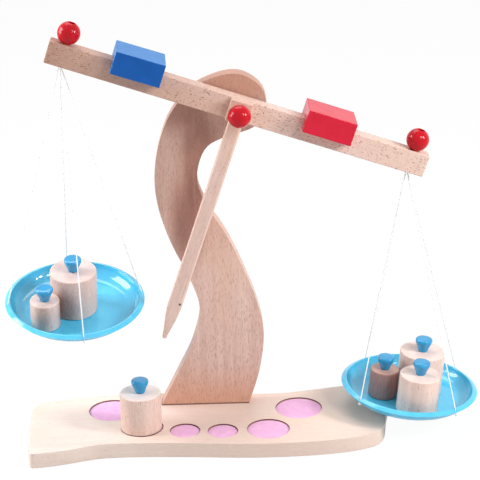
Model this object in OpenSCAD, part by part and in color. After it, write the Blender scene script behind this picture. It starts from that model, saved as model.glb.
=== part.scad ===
// Wooden balance scale toy: a wavy base board, an S shaped column, a tilting beam with two
// sliding riders, two pans hung on strings, and six turned weights.
// Millimetres. X runs right along the base, Y away from the front, Z up.
// The origin is on the underside of the base, straight below the pivot.

/* [Base board] */
// Length of the base board
base_len = 339; // [300:1:380]
// Depth of the base board, front to back
base_depth = 127; // [115:1:145]
// Thickness of the base board
base_t = 14.5; // [12:0.5:20]
// Depth of the round recesses
recess_depth = 2; // [1.5:0.1:3]
// Thickness of the felt discs glued into the recesses
felt_t = 0.8; // [0.5:0.1:1.2]
// Clearance between a weight and the wall of its recess
recess_gap = 0.7; // [0.4:0.1:1.2]

/* [Column] */
// Height of the column above the base
column_h = 321.7; // [300:0.1:340]
// Overall width of the column's outline
column_w = 103.2; // [95:0.1:112]
// Thickness of the column board
column_t = 16; // [14:0.5:20]
// Radius of the head around the pivot
head_r = 28; // [25:0.5:32]
// Length of the two screws that hold the column from below
screw_len = 45; // [38:1:60]
// Radius of a screw's shank
screw_r = 2; // [1.5:0.1:2.5]
// Radius of a screw's countersunk head
screw_head_r = 4; // [3.2:0.1:4.5]

/* [Pivot] */
// Radius of the pivot dowel
pivot_r = 3; // [2.5:0.1:4]
// Space between the beam and the column
pivot_space = 3; // [2:0.1:5]
// Outer radius of the pivot washer
washer_r = 8; // [6:0.5:10]
// Radius of the round wooden balls
ball_r = 10.2; // [8:0.1:12]

/* [Beam] */
// Length of the beam
beam_len = 349; // [330:1:370]
// Height of the beam
beam_h = 20; // [18:0.5:24]
// Depth of the beam, front to back
beam_d = 16; // [14:0.5:18]
// Tilt of the beam, right end down
beam_tilt = 18.87; // [10:0.01:18.87]
// Distance from the pivot to each hanging hole
hang_x = 160.5; // [150:0.5:164]
// Radius of the hanging holes through the beam
hang_r = 1.6; // [1.5:0.1:2.2]
// Radius of the hole through each end ball
ball_hole_r = 3.4; // [2.4:0.1:3.6]
// Width and height of the block that carries the pointer
block_w = 20; // [18:0.5:24]
// Thickness of the pointer block
block_t = 9; // [8:0.5:12]

/* [Pointer] */
// Distance from the pivot to the pointer's tip
pointer_reach = 225; // [200:1:230]
// Width of the pointer
pointer_w = 13; // [11:0.5:15]
// Thickness of the pointer
pointer_t = 6; // [5:0.5:7]
// Length of the pointer's tapered end
pointer_taper = 32; // [20:1:35]
// Radius that rounds the pointer's long edges
pointer_edge_r = 2.2; // [1:0.1:2.4]
// Radius of the pointer's rounded tip
pointer_tip_r = 2; // [1.5:0.1:3]

/* [Riders] */
// Length of a rider along the beam
rider_len = 44.5; // [38:0.5:50]
// Depth of a rider, front to back
rider_d = 40.5; // [34:0.5:44]
// Thickness of a rider above the beam
rider_roof = 11.4; // [8:0.1:14]
// Depth of the groove that straddles the beam
rider_groove = 9.2; // [6:0.1:9.5]
// Distance from the pivot to the blue rider's middle
blue_rider_x = 96; // [90:0.5:120]
// Turn of the blue rider, which sits loosely on the beam
blue_rider_turn = 2.5; // [0:0.1:3]
// Distance from the pivot to the red rider's middle
red_rider_x = 79.6; // [60:0.1:120]

/* [Pans] */
// Outer radius of a pan
pan_r = 63.8; // [60:0.1:68]
// Radius of a pan's flat floor
pan_floor_r = 46.5; // [44:0.5:47]
// Depth of a pan from its crest to its floor
pan_depth = 12; // [9:0.5:12]
// Thickness of the pan's wall
pan_wall = 1.2; // [1:0.1:1.6]
// Width of the turned-down lip
pan_lip = 4.8; // [4.2:0.1:6.4]
// Drop of the lip from the crest to the edge
pan_lip_drop = 2.0; // [1.5:0.1:3]
// Radius of a string
string_r = 0.55; // [0.4:0.05:0.6]
// Radius of a string's end knot under the lip
knot_r = 1.7; // [1.4:0.1:2]
// Space between the base board's top and the floor of the right pan
pan_air = 8.5; // [6:0.1:14]
// How much longer the left strings are than the right ones
left_longer = 8.6; // [0:0.1:10]
// Dip of the left pan towards the front
left_dip = 11.8; // [0:0.1:13]
// Dip of the right pan towards the right
right_dip = 5.0; // [0:0.1:8]

/* [Weights] */
// Radius of the small weights
small_r = 13.3; // [12:0.1:14]
// Height of the small weights
small_h = 27; // [22:0.5:30]
// Radius of the medium weights
medium_r = 18.9; // [17:0.1:19.2]
// Height of the medium weights
medium_h = 36.6; // [30:0.1:38]
// Radius of the large weights
large_r = 21.2; // [20:0.1:21.4]
// Height of the large weights
large_h = 41; // [36:0.5:44]
// Rounding of the weights' edges
weight_edge = 1.2; // [0.6:0.1:1.8]
// Largest radius of a weight's blue knob
grip_r = 8.0; // [6.5:0.1:8.5]
// Height of a weight's blue knob
grip_h = 12.9; // [9:0.1:13]
// Radius of the peg under a knob
peg_r = 2.5; // [2:0.1:3]
// Length of the peg under a knob
peg_len = 9; // [6:0.5:12]

/* [Hidden] */

// Clearances: glued seats, turning and sliding fits, and things that stand on each other
glue_gap = 0.05;
turn_gap = 0.1;
slide_gap = 0.25;
seat_gap = 0.2;
// Overrun of every cut past the face that it opens
cut = 1;
// Smoothness of round pieces
fine = 96;
coarse = 32;
spline_steps = 5;

// Heights and places that follow from the sizes above
pivot_z = base_t + column_h - head_r;
column_y = beam_d / 2 + pivot_space;
column_mid_y = column_y + column_t / 2;
block_y = -beam_d / 2 - block_t / 2;
felt_z = base_t - recess_depth;
stored_z = felt_z + felt_t + seat_gap;
rider_gap = slide_gap + rider_len / 2 * sin(blue_rider_turn);
ball_seat = sqrt(ball_r * ball_r - ball_hole_r * ball_hole_r);
mouth = [0, 0, -beam_h / 2];

// Outline of the base board, from the front left corner round by the right,
// in shares of its length and depth
base_shares = [
    [-0.563, -0.633], [-0.520, -0.614], [-0.468, -0.578], [-0.405, -0.525], [-0.340, -0.507],
    [-0.240, -0.512], [-0.125, -0.533], [-0.015, -0.557], [0.090, -0.562], [0.195, -0.545],
    [0.280, -0.507], [0.335, -0.453], [0.362, -0.398], [0.378, -0.290], [0.390, -0.080],
    [0.405, 0.120], [0.410, 0.240], [0.395, 0.325], [0.355, 0.360], [0.280, 0.341],
    [0.190, 0.287], [0.110, 0.247], [0.040, 0.244], [-0.100, 0.268], [-0.238, 0.294],
    [-0.357, 0.287], [-0.465, 0.244], [-0.545, 0.200], [-0.578, 0.150], [-0.590, 0.060],
    [-0.588, -0.140], [-0.583, -0.400], [-0.580, -0.570], [-0.576, -0.615]];
// Middles of the recesses in shares of the board's length and depth:
// large left and right, medium left and right, small left and right
recess_shares = [[-0.3673, 0.0268], [0.1496, -0.0094], [-0.2811, -0.2606], [0.0611, -0.3354],
    [-0.1643, -0.3307], [-0.0620, -0.3504]];
recess_rs = [large_r, large_r, medium_r, medium_r, small_r, small_r];

// Outline of the column, from the foot's right corner up, over the head and down,
// in shares of its width from the pivot and of its height above the base
column_shares = [
    [0.042, 0], [0.141, 0.104], [0.187, 0.216], [0.145, 0.306], [0.024, 0.418],
    [-0.126, 0.527], [-0.296, 0.620], [-0.375, 0.701], [-0.300, 0.785], [-0.116, 0.821],
    [0.122, 0.846], [0.234, 0.899], [0.204, 0.956], [0.039, 0.996], [-0.160, 0.995],
    [-0.417, 0.956], [-0.620, 0.872], [-0.731, 0.754], [-0.734, 0.639], [-0.630, 0.518],
    [-0.465, 0.399], [-0.384, 0.306], [-0.455, 0.200], [-0.601, 0.101], [-0.759, 0]];
screw_shares = [-0.55, -0.15];

// Azimuths of the string holes: the first hole, then one each quarter turn
left_turn = 10.5;
right_turn = 37;
quarter = 90;
// Small tilts and sideways leans of the loaded pans
left_roll = 2.0;
right_nod = 1.8;
left_lean_shares = [0.0228, 0.0627];
right_lean_shares = [0.1034, 0.0627];
// Places of the weights on the pans, in shares of the floor's radius
left_large_shares = [-0.0198, 0.0106];
left_small_shares = [-0.5424, -0.5664];
right_small_shares = [-0.5359, -0.0729];
right_medium_shares = [0.0902, -0.6562];
right_large_shares = [0.230, 0.2100];
// Place of the stored weight in its recess, in shares of the clearance there
stored_shares = [-0.7, 0];

// Shape of a weight's knob: radius and height in shares of its largest radius and height
grip_shares = [[0.54, 0], [0.65, 0.22], [0.82, 0.48], [0.96, 0.7], [1, 0.8], [0.99, 0.88],
    [0.94, 0.96], [0.86, 1], [0, 1]];
// Sides of the pointer's tapered end: half width and distance from the tip
taper_shares = [[1, 1], [0.84, 0.72], [0.57, 0.4], [0.34, 0.16]];
// Tenon of the pointer: width and thickness in shares of the pointer's, length in shares of the block's
tenon_shares = [0.6, 0.5, 0.35];
tenon_w = pointer_w * tenon_shares[0];
tenon_t = pointer_t * tenon_shares[1];
tenon_len = block_w * tenon_shares[2];
// Half of the angle left flat at the pointer's tip
tip_angle = 20;
// Strings, in shares of a string's radius: their spread below the beam, their start and their hole
string_shares = [1.5, 2.2, 1.8];
string_spread = string_r * string_shares[0];
string_start = string_r * string_shares[1];
hole_r = string_r * string_shares[2];
// How far a string runs on below the lip, and half the length of its hole, in shares of the pan's wall
string_run = pan_wall * 1.8;
hole_run = pan_wall * 3;
screw_head_h = screw_head_r - screw_r;

function arc(c, r, a0, a1, n) = [for (i = [0:n]) let (a = a0 + (a1 - a0) * i / n)
    [c[0] + r * cos(a), c[1] + r * sin(a)]];
function spline_at(p, q, r, s, t) = (2 * q + (r - p) * t + (2 * p - 5 * q + 4 * r - s) * t * t
    + (3 * q - p - 3 * r + s) * t * t * t) / 2;
function closed_spline(pts) = let (n = len(pts)) [for (i = [0:n - 1], k = [0:spline_steps - 1])
    spline_at(pts[(i + n - 1) % n], pts[i], pts[(i + 1) % n], pts[(i + 2) % n], k / spline_steps)];
function open_spline(pts) = let (n = len(pts)) concat([for (i = [0:n - 2], k = [0:spline_steps - 1])
    spline_at(pts[max(i - 1, 0)], pts[i], pts[i + 1], pts[min(i + 2, n - 1)], k / spline_steps)],
    [pts[n - 1]]);
function scaled(shares, w, h) = [for (p = shares) [p[0] * w, p[1] * h]];
function normal_at(pts, i) = let (a = pts[max(i - 1, 0)], b = pts[min(i + 1, len(pts) - 1)], d = b - a)
    [d[1], -d[0]] / norm(d);
function sheet(pts, t) = concat(pts, [for (i = [len(pts) - 1:-1:0]) pts[i] + normal_at(pts, i) * t]);
// Turns a point by a nod about X after a roll about Y
function turned(v, nod, roll) = let (x = v[0] * cos(roll) + v[2] * sin(roll),
    z = v[2] * cos(roll) - v[0] * sin(roll))
    [x, v[1] * cos(nod) - z * sin(nod), v[1] * sin(nod) + z * cos(nod)];
function beam_point(v) = turned(v, 0, beam_tilt) + [0, 0, pivot_z];

// Hanging points under the beam, and the middles of the pans' crests: the right pan hangs
// just above the base board, whatever the column's height, and the left one on longer strings
left_hang = beam_point([-hang_x, 0, 0] + mouth);
right_hang = beam_point([hang_x, 0, 0] + mouth);
right_drop = right_hang[2] - base_t - pan_air - pan_depth;
left_drop = right_drop + left_longer;
left_mid = left_hang + [left_lean_shares[0] * pan_r, left_lean_shares[1] * pan_r, -left_drop];
right_mid = right_hang + [right_lean_shares[0] * pan_r, right_lean_shares[1] * pan_r, -right_drop];

// Section of a pan from its middle: flat floor, curved side, crest and turned-down lip
crest_r = pan_r - pan_lip;
side_run = crest_r - pan_floor_r;
side_r = (side_run * side_run + pan_depth * pan_depth) / (2 * pan_depth);
side_turn = 2 * atan(pan_depth / side_run);
// Points of the lip, in shares of its width and of its drop
lip_shares = [[0.18, 0.12], [0.55, -0.36], [0.8, -0.68]];
lip_line = [for (p = lip_shares) [crest_r + p[0] * pan_lip, p[1] * pan_lip_drop]];
pan_line = concat([[0, -pan_depth]],
    arc([pan_floor_r, side_r - pan_depth], side_r, -quarter, side_turn - quarter, 10),
    lip_line, [[pan_r, -pan_lip_drop]]);
// Where a string crosses the lip, and how far its knot hangs below
string_hole = [lip_line[1][0], lip_line[1][1] - pan_wall / 2];

module on_beam() {
    translate([0, 0, pivot_z]) rotate([0, beam_tilt, 0]) children();
}
module on_left_pan() {
    translate(left_mid) rotate([left_dip, 0, 0]) rotate([0, left_roll, 0]) children();
}
module on_right_pan() {
    translate(right_mid) rotate([right_nod, 0, 0]) rotate([0, right_dip, 0]) children();
}
// A round rod between two points
module rod(a, b, r) {
    d = b - a;
    translate(a) rotate([0, acos(d[2] / norm(d)), atan2(d[1], d[0])])
        cylinder(h = norm(d), r = r, $fn = coarse);
}
module recess(i) {
    p = recess_shares[i];
    translate([p[0] * base_len, p[1] * base_depth, felt_z])
        cylinder(h = recess_depth + cut, r = recess_rs[i] + recess_gap, $fn = fine);
}
module felt(i) {
    p = recess_shares[i];
    color("plum") translate([p[0] * base_len, p[1] * base_depth, felt_z])
        cylinder(h = felt_t, r = recess_rs[i] + recess_gap - seat_gap, $fn = fine);
}
module screw(r, head_r, len) {
    cylinder(h = len, r = r, $fn = coarse);
    cylinder(h = head_r - r, r1 = head_r, r2 = r, $fn = coarse);
}
module at_screws() {
    for (s = screw_shares) translate([s * column_w, column_mid_y, 0]) children();
}
module base_board() {
    color("burlywood") difference() {
        linear_extrude(base_t) polygon(closed_spline(scaled(base_shares, base_len, base_depth)));
        for (i = [0:len(recess_shares) - 1]) recess(i);
        at_screws() {
            translate([0, 0, -cut]) cylinder(h = base_t + 2 * cut, r = screw_r + glue_gap, $fn = coarse);
            translate([0, 0, -glue_gap])
                cylinder(h = screw_head_h + 2 * glue_gap, r1 = screw_head_r + 2 * glue_gap,
                    r2 = screw_r, $fn = coarse);
        }
    }
}
module column() {
    color("tan") difference() {
        translate([0, column_y + column_t, base_t]) rotate([quarter, 0, 0])
            linear_extrude(column_t) polygon(open_spline(scaled(column_shares, column_w, column_h)));
        translate([0, column_y - cut, pivot_z]) rotate([-quarter, 0, 0])
            cylinder(h = column_t + 2 * cut, r = pivot_r + glue_gap, $fn = fine);
        at_screws() translate([0, 0, base_t - cut])
            cylinder(h = screw_len - base_t + 2 * cut, r = screw_r + glue_gap, $fn = coarse);
    }
}
module column_screws() {
    color("silver") at_screws() translate([0, 0, glue_gap]) screw(screw_r, screw_head_r, screw_len);
}
module pivot_dowel() {
    front = beam_d / 2 + block_t + slide_gap + ball_r;
    color("wheat") translate([0, -front, pivot_z]) rotate([-quarter, 0, 0])
        cylinder(h = front + column_y + column_t, r = pivot_r, $fn = fine);
}
module pivot_washer() {
    color("ivory") translate([0, beam_d / 2 + slide_gap, pivot_z]) rotate([-quarter, 0, 0]) difference() {
        cylinder(h = pivot_space - slide_gap, r = washer_r, $fn = fine);
        translate([0, 0, -cut]) cylinder(h = pivot_space + 2 * cut, r = pivot_r + turn_gap, $fn = fine);
    }
}
module pivot_knob() {
    y = beam_d / 2 + block_t + slide_gap + ball_r;
    color("crimson") translate([0, -y, pivot_z]) difference() {
        sphere(r = ball_r, $fn = fine);
        translate([0, -glue_gap, 0]) rotate([-quarter, 0, 0])
            cylinder(h = ball_r + cut, r = pivot_r + glue_gap, $fn = fine);
    }
}
module beam_bar() {
    color("burlywood") on_beam() difference() {
        cube([beam_len, beam_d, beam_h], center = true);
        rotate([quarter, 0, 0])
            cylinder(h = beam_d + 2 * cut, r = pivot_r + turn_gap, center = true, $fn = fine);
        for (s = [-1, 1]) translate([s * hang_x, 0, 0])
            cylinder(h = beam_h + 2 * cut, r = hang_r, center = true, $fn = coarse);
    }
}
module pointer_block() {
    color("burlywood") on_beam() translate([0, block_y, 0]) difference() {
        cube([block_w, block_t, block_w], center = true);
        rotate([quarter, 0, 0])
            cylinder(h = block_t + 2 * cut, r = pivot_r + turn_gap, center = true, $fn = fine);
        translate([0, 0, -block_w / 2 + tenon_len / 2]) cube([tenon_w + 2 * glue_gap,
            tenon_t + 2 * glue_gap, tenon_len + 2 * glue_gap], center = true);
    }
}
module pointer() {
    len = pointer_reach - block_w / 2 - glue_gap;
    w = pointer_w / 2;
    t = pointer_t / 2;
    e = pointer_edge_r;
    section = concat(arc([w - e, t - e], e, 0, quarter, 4), arc([e - w, t - e], e, quarter, 2 * quarter, 4),
        arc([e - w, e - t], e, 2 * quarter, 3 * quarter, 4), arc([w - e, e - t], e, -quarter, 0, 4));
    side = [for (p = taper_shares) [p[0] * w, p[1] * pointer_taper - pointer_reach]];
    tip = arc([0, pointer_tip_r - pointer_reach], pointer_tip_r, -tip_angle, tip_angle - 2 * quarter, 8);
    far_side = [for (i = [len(side) - 1:-1:0]) [-side[i][0], side[i][1]]];
    outline = concat([[w + cut, cut], [w + cut, side[0][1]]], side, tip, far_side,
        [[-w - cut, side[0][1]], [-w - cut, cut]]);
    color("burlywood") on_beam() translate([0, block_y, 0]) {
        intersection() {
            translate([0, 0, -pointer_reach]) linear_extrude(len) polygon(section);
            rotate([quarter, 0, 0]) linear_extrude(pointer_t + 2 * cut, center = true) polygon(outline);
        }
        translate([0, 0, -block_w / 2 - cut - glue_gap]) linear_extrude(tenon_len + cut)
            square([tenon_w, tenon_t], center = true);
    }
}
module bead(s) {
    color("crimson") on_beam() translate([s * hang_x, 0, beam_h / 2 + ball_seat + glue_gap]) difference() {
        sphere(r = ball_r, $fn = fine);
        cylinder(h = 2 * ball_r + 2 * cut, r = ball_hole_r, center = true, $fn = coarse);
    }
}
// The knot sits on the beam inside the ball's hole, and the strings' tail fills the beam's hole
module bead_knot(s) {
    color("white") on_beam() translate([s * hang_x, 0, beam_h / 2 + knot_r + glue_gap])
        sphere(r = knot_r, $fn = coarse);
}
module string_tail(s) {
    color("white") on_beam() translate([s * hang_x, 0, 0] + mouth)
        cylinder(h = beam_h - glue_gap, r = string_spread + string_r, $fn = coarse);
}
module rider(x, turn) {
    w = beam_d + 2 * rider_gap;
    bottom = beam_h / 2 + slide_gap - rider_groove;
    on_beam() translate([x, 0, 0]) rotate([0, 0, turn]) difference() {
        translate([-rider_len / 2, -rider_d / 2, bottom])
            cube([rider_len, rider_d, rider_groove + rider_roof]);
        translate([-rider_len / 2 - cut, -w / 2, bottom - cut])
            cube([rider_len + 2 * cut, w, rider_groove + cut]);
    }
}
function hole_dir(hang, mid, nod, roll, a) = let (h = mid + turned([string_hole[0] * cos(a),
    string_hole[0] * sin(a), string_hole[1]], nod, roll), d = h - hang) d / norm(d);
function hole_at(mid, nod, roll, a) = mid + turned([string_hole[0] * cos(a),
    string_hole[0] * sin(a), string_hole[1]], nod, roll);
function string_top(hang, a) = hang + [string_spread * cos(a), string_spread * sin(a), -string_start];

module pan() {
    rotate_extrude($fn = fine) polygon(sheet(pan_line, pan_wall));
}
module string_holes(hang, mid, nod, roll, first) {
    for (k = [0:3]) {
        a = first + k * quarter;
        h = hole_at(mid, nod, roll, a);
        d = hole_dir(hang, mid, nod, roll, a);
        rod(h - d * hole_run, h + d * hole_run, hole_r);
    }
}
module strings(hang, mid, nod, roll, first) {
    color("white") for (k = [0:3]) {
        a = first + k * quarter;
        d = hole_dir(hang, mid, nod, roll, a);
        rod(string_top(hang, a), hole_at(mid, nod, roll, a) + d * string_run, string_r);
    }
}
module rim_knots(hang, mid, nod, roll, first) {
    color("white") for (k = [0:3]) {
        a = first + k * quarter;
        d = hole_dir(hang, mid, nod, roll, a);
        translate(hole_at(mid, nod, roll, a) + d * (string_run + knot_r + glue_gap))
            sphere(r = knot_r, $fn = coarse);
    }
}
module left_pan() {
    color("skyblue") difference() {
        on_left_pan() pan();
        string_holes(left_hang, left_mid, left_dip, left_roll, left_turn);
    }
}
module right_pan() {
    color("skyblue") difference() {
        on_right_pan() pan();
        string_holes(right_hang, right_mid, right_nod, right_dip, right_turn);
    }
}
module weight(r, h) {
    e = weight_edge;
    color("burlywood") difference() {
        rotate_extrude($fn = fine) polygon(concat([[0, 0], [r - e, 0]], arc([r - e, e], e, -quarter, 0, 4),
            arc([r - e, h - e], e, 0, quarter, 4), [[0, h]]));
        translate([0, 0, h - peg_len - glue_gap])
            cylinder(h = peg_len + glue_gap + cut, r = peg_r + glue_gap, $fn = coarse);
    }
}
module grip(h) {
    color("deepskyblue") translate([0, 0, h + glue_gap]) {
        rotate_extrude($fn = fine) polygon(concat([[0, 0]], scaled(grip_shares, grip_r, grip_h)));
        translate([0, 0, -peg_len]) cylinder(h = peg_len + glue_gap, r = peg_r, $fn = coarse);
    }
}
// Stands a piece on a pan's floor, at a place in shares of the floor's radius
module on_floor(p) {
    translate([p[0] * pan_floor_r, p[1] * pan_floor_r, seat_gap - pan_depth]) children();
}
module at_store() {
    p = recess_shares[2];
    translate([p[0] * base_len + stored_shares[0] * recess_gap,
        p[1] * base_depth + stored_shares[1] * recess_gap, stored_z]) children();
}

base_board();
column();
column_screws();
felt(0);  // felt_large_left
felt(1);  // felt_large_right
felt(2);  // felt_medium_left
felt(3);  // felt_medium_right
felt(4);  // felt_small_left
felt(5);  // felt_small_right
pivot_dowel();
pivot_washer();
pivot_knob();
beam_bar();
pointer_block();
pointer();
bead(-1);  // left_bead
bead(1);  // right_bead
bead_knot(-1);  // left_bead_knot
bead_knot(1);  // right_bead_knot
string_tail(-1);  // left_string_tail
string_tail(1);  // right_string_tail
color("royalblue") rider(-blue_rider_x, blue_rider_turn);  // blue_rider
color("crimson") rider(red_rider_x, 0);  // red_rider
left_pan();
strings(left_hang, left_mid, left_dip, left_roll, left_turn);  // left_pan_strings
rim_knots(left_hang, left_mid, left_dip, left_roll, left_turn);  // left_rim_knots
right_pan();
strings(right_hang, right_mid, right_nod, right_dip, right_turn);  // right_pan_strings
rim_knots(right_hang, right_mid, right_nod, right_dip, right_turn);  // right_rim_knots
on_left_pan() on_floor(left_large_shares) weight(large_r, large_h);  // left_large_weight
on_left_pan() on_floor(left_large_shares) grip(large_h);  // left_large_knob
on_left_pan() on_floor(left_small_shares) weight(small_r, small_h);  // left_small_weight
on_left_pan() on_floor(left_small_shares) grip(small_h);  // left_small_knob
on_right_pan() on_floor(right_large_shares) weight(large_r, large_h);  // right_large_weight
on_right_pan() on_floor(right_large_shares) grip(large_h);  // right_large_knob
on_right_pan() on_floor(right_medium_shares) weight(medium_r, medium_h);  // right_medium_weight
on_right_pan() on_floor(right_medium_shares) grip(medium_h);  // right_medium_knob
on_right_pan() on_floor(right_small_shares) weight(small_r, small_h);  // right_small_weight
on_right_pan() on_floor(right_small_shares) grip(small_h);  // right_small_knob
at_store() weight(medium_r, medium_h);  // stored_medium_weight
at_store() grip(medium_h);  // stored_medium_knob
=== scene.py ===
import bpy
import bmesh
import math
from mathutils import Matrix, Vector


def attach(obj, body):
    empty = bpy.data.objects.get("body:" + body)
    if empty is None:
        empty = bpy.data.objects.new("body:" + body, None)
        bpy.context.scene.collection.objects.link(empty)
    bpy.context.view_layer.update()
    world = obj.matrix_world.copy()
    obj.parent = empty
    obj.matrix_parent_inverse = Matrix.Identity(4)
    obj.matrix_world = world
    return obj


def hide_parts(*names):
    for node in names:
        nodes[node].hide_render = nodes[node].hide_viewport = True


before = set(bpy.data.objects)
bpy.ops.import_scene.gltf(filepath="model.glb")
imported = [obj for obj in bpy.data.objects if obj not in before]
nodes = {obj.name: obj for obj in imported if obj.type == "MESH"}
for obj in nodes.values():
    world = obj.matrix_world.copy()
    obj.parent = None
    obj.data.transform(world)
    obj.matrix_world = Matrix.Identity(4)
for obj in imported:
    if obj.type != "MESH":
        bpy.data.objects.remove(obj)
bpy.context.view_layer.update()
scene = bpy.context.scene
mm = 0.001
print("balance scale: frame loaded,", len(nodes), "solids")

# places that the whole toy shares, in millimetres and degrees; gap is left between pieces that touch
# lean and drop go from the hole under the beam's end to the pan's middle, nod and roll tip the pan
layout = {
    "pivotHeight": 308.2, "beamTilt": 18.87, "hangReach": 160.5, "beamHalfHeight": 10.0, "gap": 0.05,
    "leftPan": {"lean": (1.45464, 4.00026), "drop": 220.42822, "nod": 11.8, "roll": 2.0, "firstHole": 10.5},
    "rightPan": {"lean": (6.59692, 4.00026), "drop": 211.82822, "nod": 1.8, "roll": 5.0, "firstHole": 37.0},
}


def turnedFrame(middle, nod, roll):
    return (Matrix.Translation(middle) @ Matrix.Rotation(math.radians(nod), 4, "X")
            @ Matrix.Rotation(math.radians(roll), 4, "Y"))


pivot = Vector((0, 0, layout["pivotHeight"])) * mm
beamFrame = turnedFrame(pivot, 0, layout["beamTilt"])


def hangPoint(side):
    return beamFrame @ (Vector((side * layout["hangReach"], 0, -layout["beamHalfHeight"])) * mm)


def panFrame(side):
    pan = layout["rightPan" if side > 0 else "leftPan"]
    middle = hangPoint(side) + Vector((*pan["lean"], -pan["drop"])) * mm
    return turnedFrame(middle, pan["nod"], pan["roll"])


# camera, at the photograph's viewing angle: millimetres, degrees and pixels
photoCamera = {"place": (-21.019, -1423.535, 721.33), "pitch": 20.6804, "yaw": 0.7947, "roll": -1.1483,
               "focalPixels": 1681.0, "framePixels": 480, "sensorWidth": 36, "clipMetres": (0.05, 20)}


def makeCamera(look):
    pitch, yaw, roll = (math.radians(look[k]) for k in ("pitch", "yaw", "roll"))
    forward = Vector((math.sin(yaw) * math.cos(pitch), math.cos(yaw) * math.cos(pitch), -math.sin(pitch)))
    level = Vector((math.cos(yaw), -math.sin(yaw), 0))
    rise = level.cross(forward)
    right = level * math.cos(roll) + rise * math.sin(roll)
    up = rise * math.cos(roll) - level * math.sin(roll)
    data = bpy.data.cameras.new("photoCamera")
    data.sensor_width = look["sensorWidth"]
    data.lens = look["focalPixels"] / look["framePixels"] * look["sensorWidth"]
    data.clip_start, data.clip_end = look["clipMetres"]
    camera = bpy.data.objects.new("photoCamera", data)
    scene.collection.objects.link(camera)
    turn = Matrix((right, up, -forward)).transposed().to_4x4()
    camera.matrix_world = Matrix.Translation(Vector(look["place"]) * mm) @ turn
    scene.camera = camera


makeCamera(photoCamera)
print("camera placed")


# small helpers
def toLinear(hexText):
    parts = [int(hexText[i:i + 2], 16) / 255 for i in (1, 3, 5)]
    return (*(p / 12.92 if p <= 0.04045 else ((p + 0.055) / 1.055) ** 2.4 for p in parts), 1.0)


def addNode(tree, kind, props=None, values=None, links=None):
    node = tree.nodes.new(kind)
    for key, value in (props or {}).items():
        setattr(node, key, value)
    for key, value in (values or {}).items():
        node.inputs[key].default_value = value
    for key, source in (links or {}).items():
        tree.links.new(source, node.inputs[key])
    return node


def newMaterial(name):
    material = bpy.data.materials.new(name)
    material.use_nodes = True
    material.node_tree.nodes.clear()
    return material, material.node_tree


def makePiece(name, mesh, body, material, stands):
    piece = bpy.data.objects.new(name, mesh)
    scene.collection.objects.link(piece)
    mesh.materials.clear()
    mesh.materials.append(material)
    for face in mesh.polygons:
        face.material_index = 0
    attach(piece, body)
    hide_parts(*stands)
    return piece


def evaluatedMesh(holder):
    bpy.context.view_layer.update()
    return bpy.data.meshes.new_from_object(holder.evaluated_get(bpy.context.evaluated_depsgraph_get()))


def smoothBelow(mesh, degrees):
    for face in mesh.polygons:
        face.use_smooth = True
    mesh.set_sharp_from_angle(angle=math.radians(degrees))


def meshFrom(bm, name, degrees, place=None):
    bmesh.ops.remove_doubles(bm, verts=bm.verts, dist=1e-7)
    bmesh.ops.recalc_face_normals(bm, faces=bm.faces)
    if place is not None:
        bm.transform(place)
    mesh = bpy.data.meshes.new(name)
    bm.to_mesh(mesh)
    bm.free()
    smoothBelow(mesh, degrees)
    return mesh


# turns (radius, height) pairs in millimetres about the local Z
def turnProfile(name, outline, place, sides=96, closed=False, degrees=35):
    bm = bmesh.new()
    rings = []
    for radius, height in outline:
        onAxis = radius < 1e-6
        reach = 0 if onAxis else radius * mm
        turns = [0] if onAxis else [2 * math.pi * k / sides for k in range(sides)]
        rings.append([bm.verts.new((reach * math.cos(t), reach * math.sin(t), height * mm)) for t in turns])
    pairs = list(zip(rings, rings[1:])) + ([(rings[-1], rings[0])] if closed else [])
    for low, high in pairs:
        for k in range(sides):
            n = (k + 1) % sides
            corners = [low[k % len(low)], low[n % len(low)], high[n % len(high)], high[k % len(high)]]
            unique = list(dict.fromkeys(corners))  # a ring at the axis is one corner
            if len(unique) > 2:
                bm.faces.new(unique)
    return meshFrom(bm, name, degrees, place)


def arcPoints(centre, radius, start, stop, steps):
    turns = [math.radians(start + (stop - start) * i / steps) for i in range(steps + 1)]
    return [(centre[0] + radius * math.cos(t), centre[1] + radius * math.sin(t)) for t in turns]


# strings of the pans: thin white three-ply cord, straight and taut, in millimetres
# spread and start: where a string leaves the hole under the beam; below: how far it goes past the rim's hole
stringSizes = {"diameter": 1.1, "plies": 3, "plyDepth": 0.07, "twistLength": 3.2, "ringStep": 0.3,
               "ringCorners": 15, "spread": 0.825, "start": 1.21, "holeReach": 61.64, "holeDrop": 1.32,
               "below": 2.16, "knotBelow": 1.75, "routeSteps": 24}
cordLook = {"pale": "#ffffff", "shade": "#f6f6f7", "fuzz": 0.4, "fuzzDepth": 0.1, "roughness": 0.9}


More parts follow.
